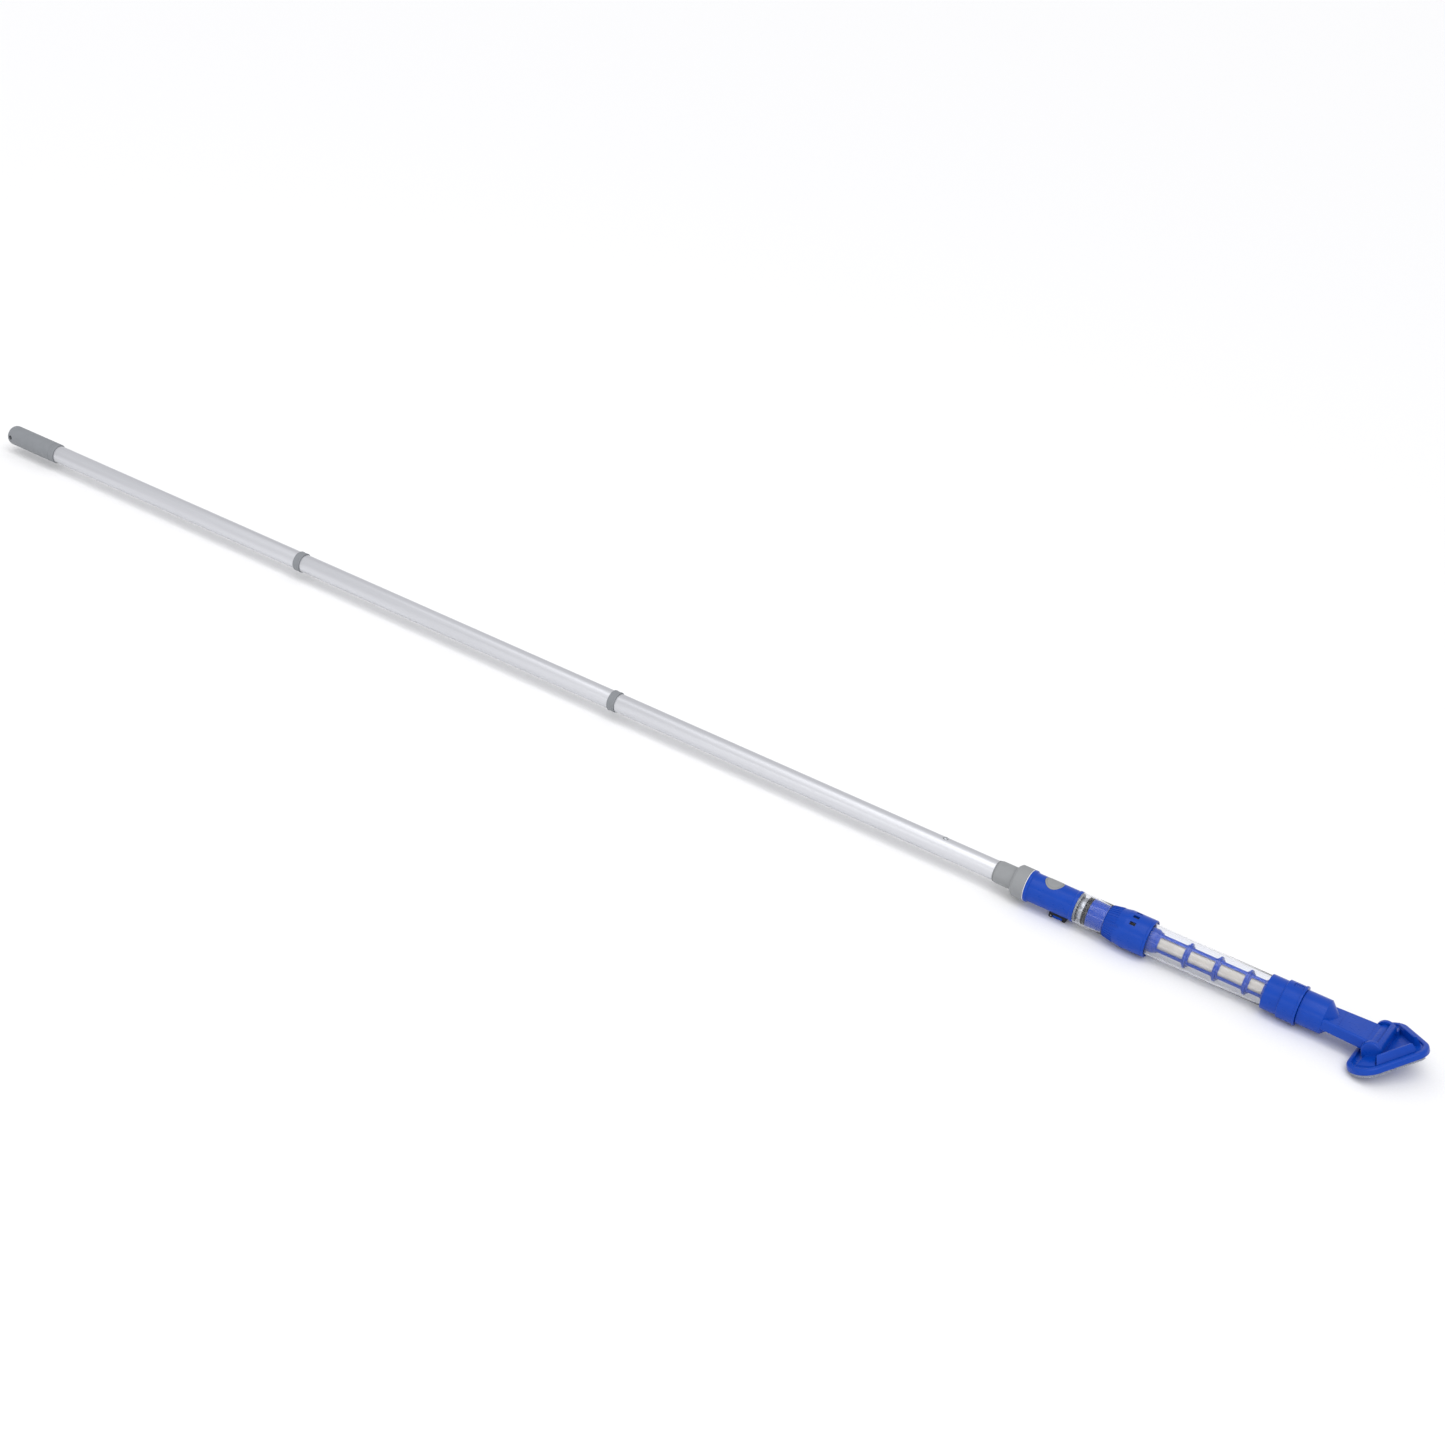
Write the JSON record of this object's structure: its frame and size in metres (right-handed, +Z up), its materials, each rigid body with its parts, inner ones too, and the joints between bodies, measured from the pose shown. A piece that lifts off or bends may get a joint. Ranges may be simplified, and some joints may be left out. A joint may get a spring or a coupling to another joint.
{
  "type": "pool vacuum",
  "caption": "Cordless pool vacuum on a sectional pole, with a clear debris chamber, filter cage, flat nozzle neck and a tilting triangular brush head.",
  "frame": {"origin": "on the floor, under the middle of the whole vacuum as it lies on its charging port's feet", "axes": "+X along the pole towards the brush head, +Z up through the power button, +Y to the far side"},
  "size_m": [2.615, 0.1518, 0.0582],
  "materials": {
    "pole_aluminium": "satin anodised, drawn lengthwise",
    "grey_plastic": "light grey moulded ABS, satin",
    "dark_grey_plastic": "darker grey moulded plastic, satin",
    "blue_plastic": "royal blue moulded ABS, semi-gloss",
    "clear_plastic": "clear polycarbonate, glossy",
    "black_rubber": "soft black rubber, matt",
    "silicone": "white silicone, matt",
    "steel": "plain stainless steel",
    "cell_wrap": "shrink-wrapped battery cell",
    "circuit_board": "green circuit board",
    "filter_cloth": "fine off-white polyester mesh",
    "bristle_nylon": "translucent grey nylon bristle"
  },
  "bodies": {
    "vacuum": {"lower_tube": "pole_aluminium", "lower_tube_collar": "dark_grey_plastic", "pole_adapter": "grey_plastic", "snap_spring": "steel", "rear_cap": "grey_plastic", "cap_seal": "silicone", "battery_housing": "blue_plastic", "port_frame": "black_rubber", "cover_pin": "steel", "charging_jack": "dark_grey_plastic", "button_bezel": "grey_plastic", "button_spring": "steel", "battery_carrier": "dark_grey_plastic", "battery_cell_near": "cell_wrap", "battery_cell_far": "cell_wrap", "control_board": "circuit_board", "tact_switch": "black_rubber", "motor_bulkhead": "dark_grey_plastic", "motor": "steel", "bulkhead_screw_near": "steel", "bulkhead_screw_far": "steel", "motor_lead_near": "black_rubber", "motor_lead_far": "black_rubber", "motor_cover": "clear_plastic", "rear_o_ring": "black_rubber", "front_o_ring": "black_rubber", "motor_mount": "blue_plastic", "shaft_seal": "black_rubber", "locking_collar": "blue_plastic", "pump_plate": "dark_grey_plastic"},
    "middle_pole": {"middle_tube": "pole_aluminium", "upper_tube_collar": "dark_grey_plastic"},
    "upper_pole": {"upper_tube": "pole_aluminium", "handle_grip": "dark_grey_plastic"},
    "snap_pin": {"snap_button": "steel"},
    "power_key": {"power_button": "grey_plastic"},
    "port_lid": {"port_cover": "blue_plastic"},
    "rotor": {"motor_shaft": "steel", "impeller": "dark_grey_plastic"},
    "chamber": {"chamber_lock_ring": "blue_plastic", "debris_chamber": "clear_plastic", "filter_cage": "blue_plastic", "filter_mesh": "filter_cloth", "rear_chamber_seal": "black_rubber", "front_chamber_seal": "black_rubber", "front_connector": "blue_plastic", "flap_pin": "steel", "latch_spring": "steel", "nozzle_neck": "blue_plastic"},
    "inlet_valve": {"inlet_flap": "black_rubber"},
    "nozzle_latch": {"latch_button": "blue_plastic"},
    "head": {"head_shell": "blue_plastic", "near_pivot_pin": "steel", "far_pivot_pin": "steel", "rear_brush_near": "bristle_nylon", "rear_brush_far": "bristle_nylon", "front_brush_near": "bristle_nylon", "front_brush_far": "bristle_nylon"}
  },
  "joints": [
    {"name": "middle_pole_pull", "type": "slide", "parent": "vacuum", "child": "middle_pole", "axis": [-1, 0, 0], "range_m": [0, 0.034]},
    {"name": "upper_pole_pull", "type": "slide", "parent": "middle_pole", "child": "upper_pole", "axis": [-1, 0, 0], "range_m": [0, 0.034]},
    {"name": "snap_press", "type": "slide", "parent": "vacuum", "child": "snap_pin", "axis": [0, 0, -1], "range_m": [0, 0.0036], "stiffness_N_per_m": 400, "springref_m": -0.002, "deforming": ["snap_spring"]},
    {"name": "power_press", "type": "slide", "parent": "vacuum", "child": "power_key", "axis": [0, 0, -1], "range_m": [0, 0.0015], "stiffness_N_per_m": 600, "springref_m": -0.002, "deforming": ["button_spring"]},
    {"name": "port_cover_swing", "type": "hinge", "parent": "vacuum", "child": "port_lid", "pos_m": [0.7597, 0, 0.0025], "axis": [0, 1, 0], "range_deg": [0, 100]},
    {"name": "rotor_spin", "type": "hinge", "parent": "vacuum", "child": "rotor", "pos_m": [0.8789, 0, 0.0292], "axis": [1, 0, 0], "continuous": true},
    {"name": "chamber_twist", "type": "hinge", "parent": "vacuum", "child": "chamber", "pos_m": [0.9064, 0, 0.0292], "axis": [1, 0, 0], "range_deg": [-40, 0]},
    {"name": "flap_swing", "type": "hinge", "parent": "chamber", "child": "inlet_valve", "pos_m": [1.1016, 0, 0.0445], "axis": [0, 1, 0], "range_deg": [0, 40]},
    {"name": "latch_press", "type": "slide", "parent": "chamber", "child": "nozzle_latch", "axis": [0, 0, -1], "range_m": [0, 0.0015], "stiffness_N_per_m": 600, "springref_m": -0.002, "deforming": ["latch_spring"]},
    {"name": "head_tilt", "type": "hinge", "parent": "chamber", "child": "head", "pos_m": [1.2413, 0, 0.0292], "axis": [0, -1, 0], "range_deg": [0, 18]}
  ]
}
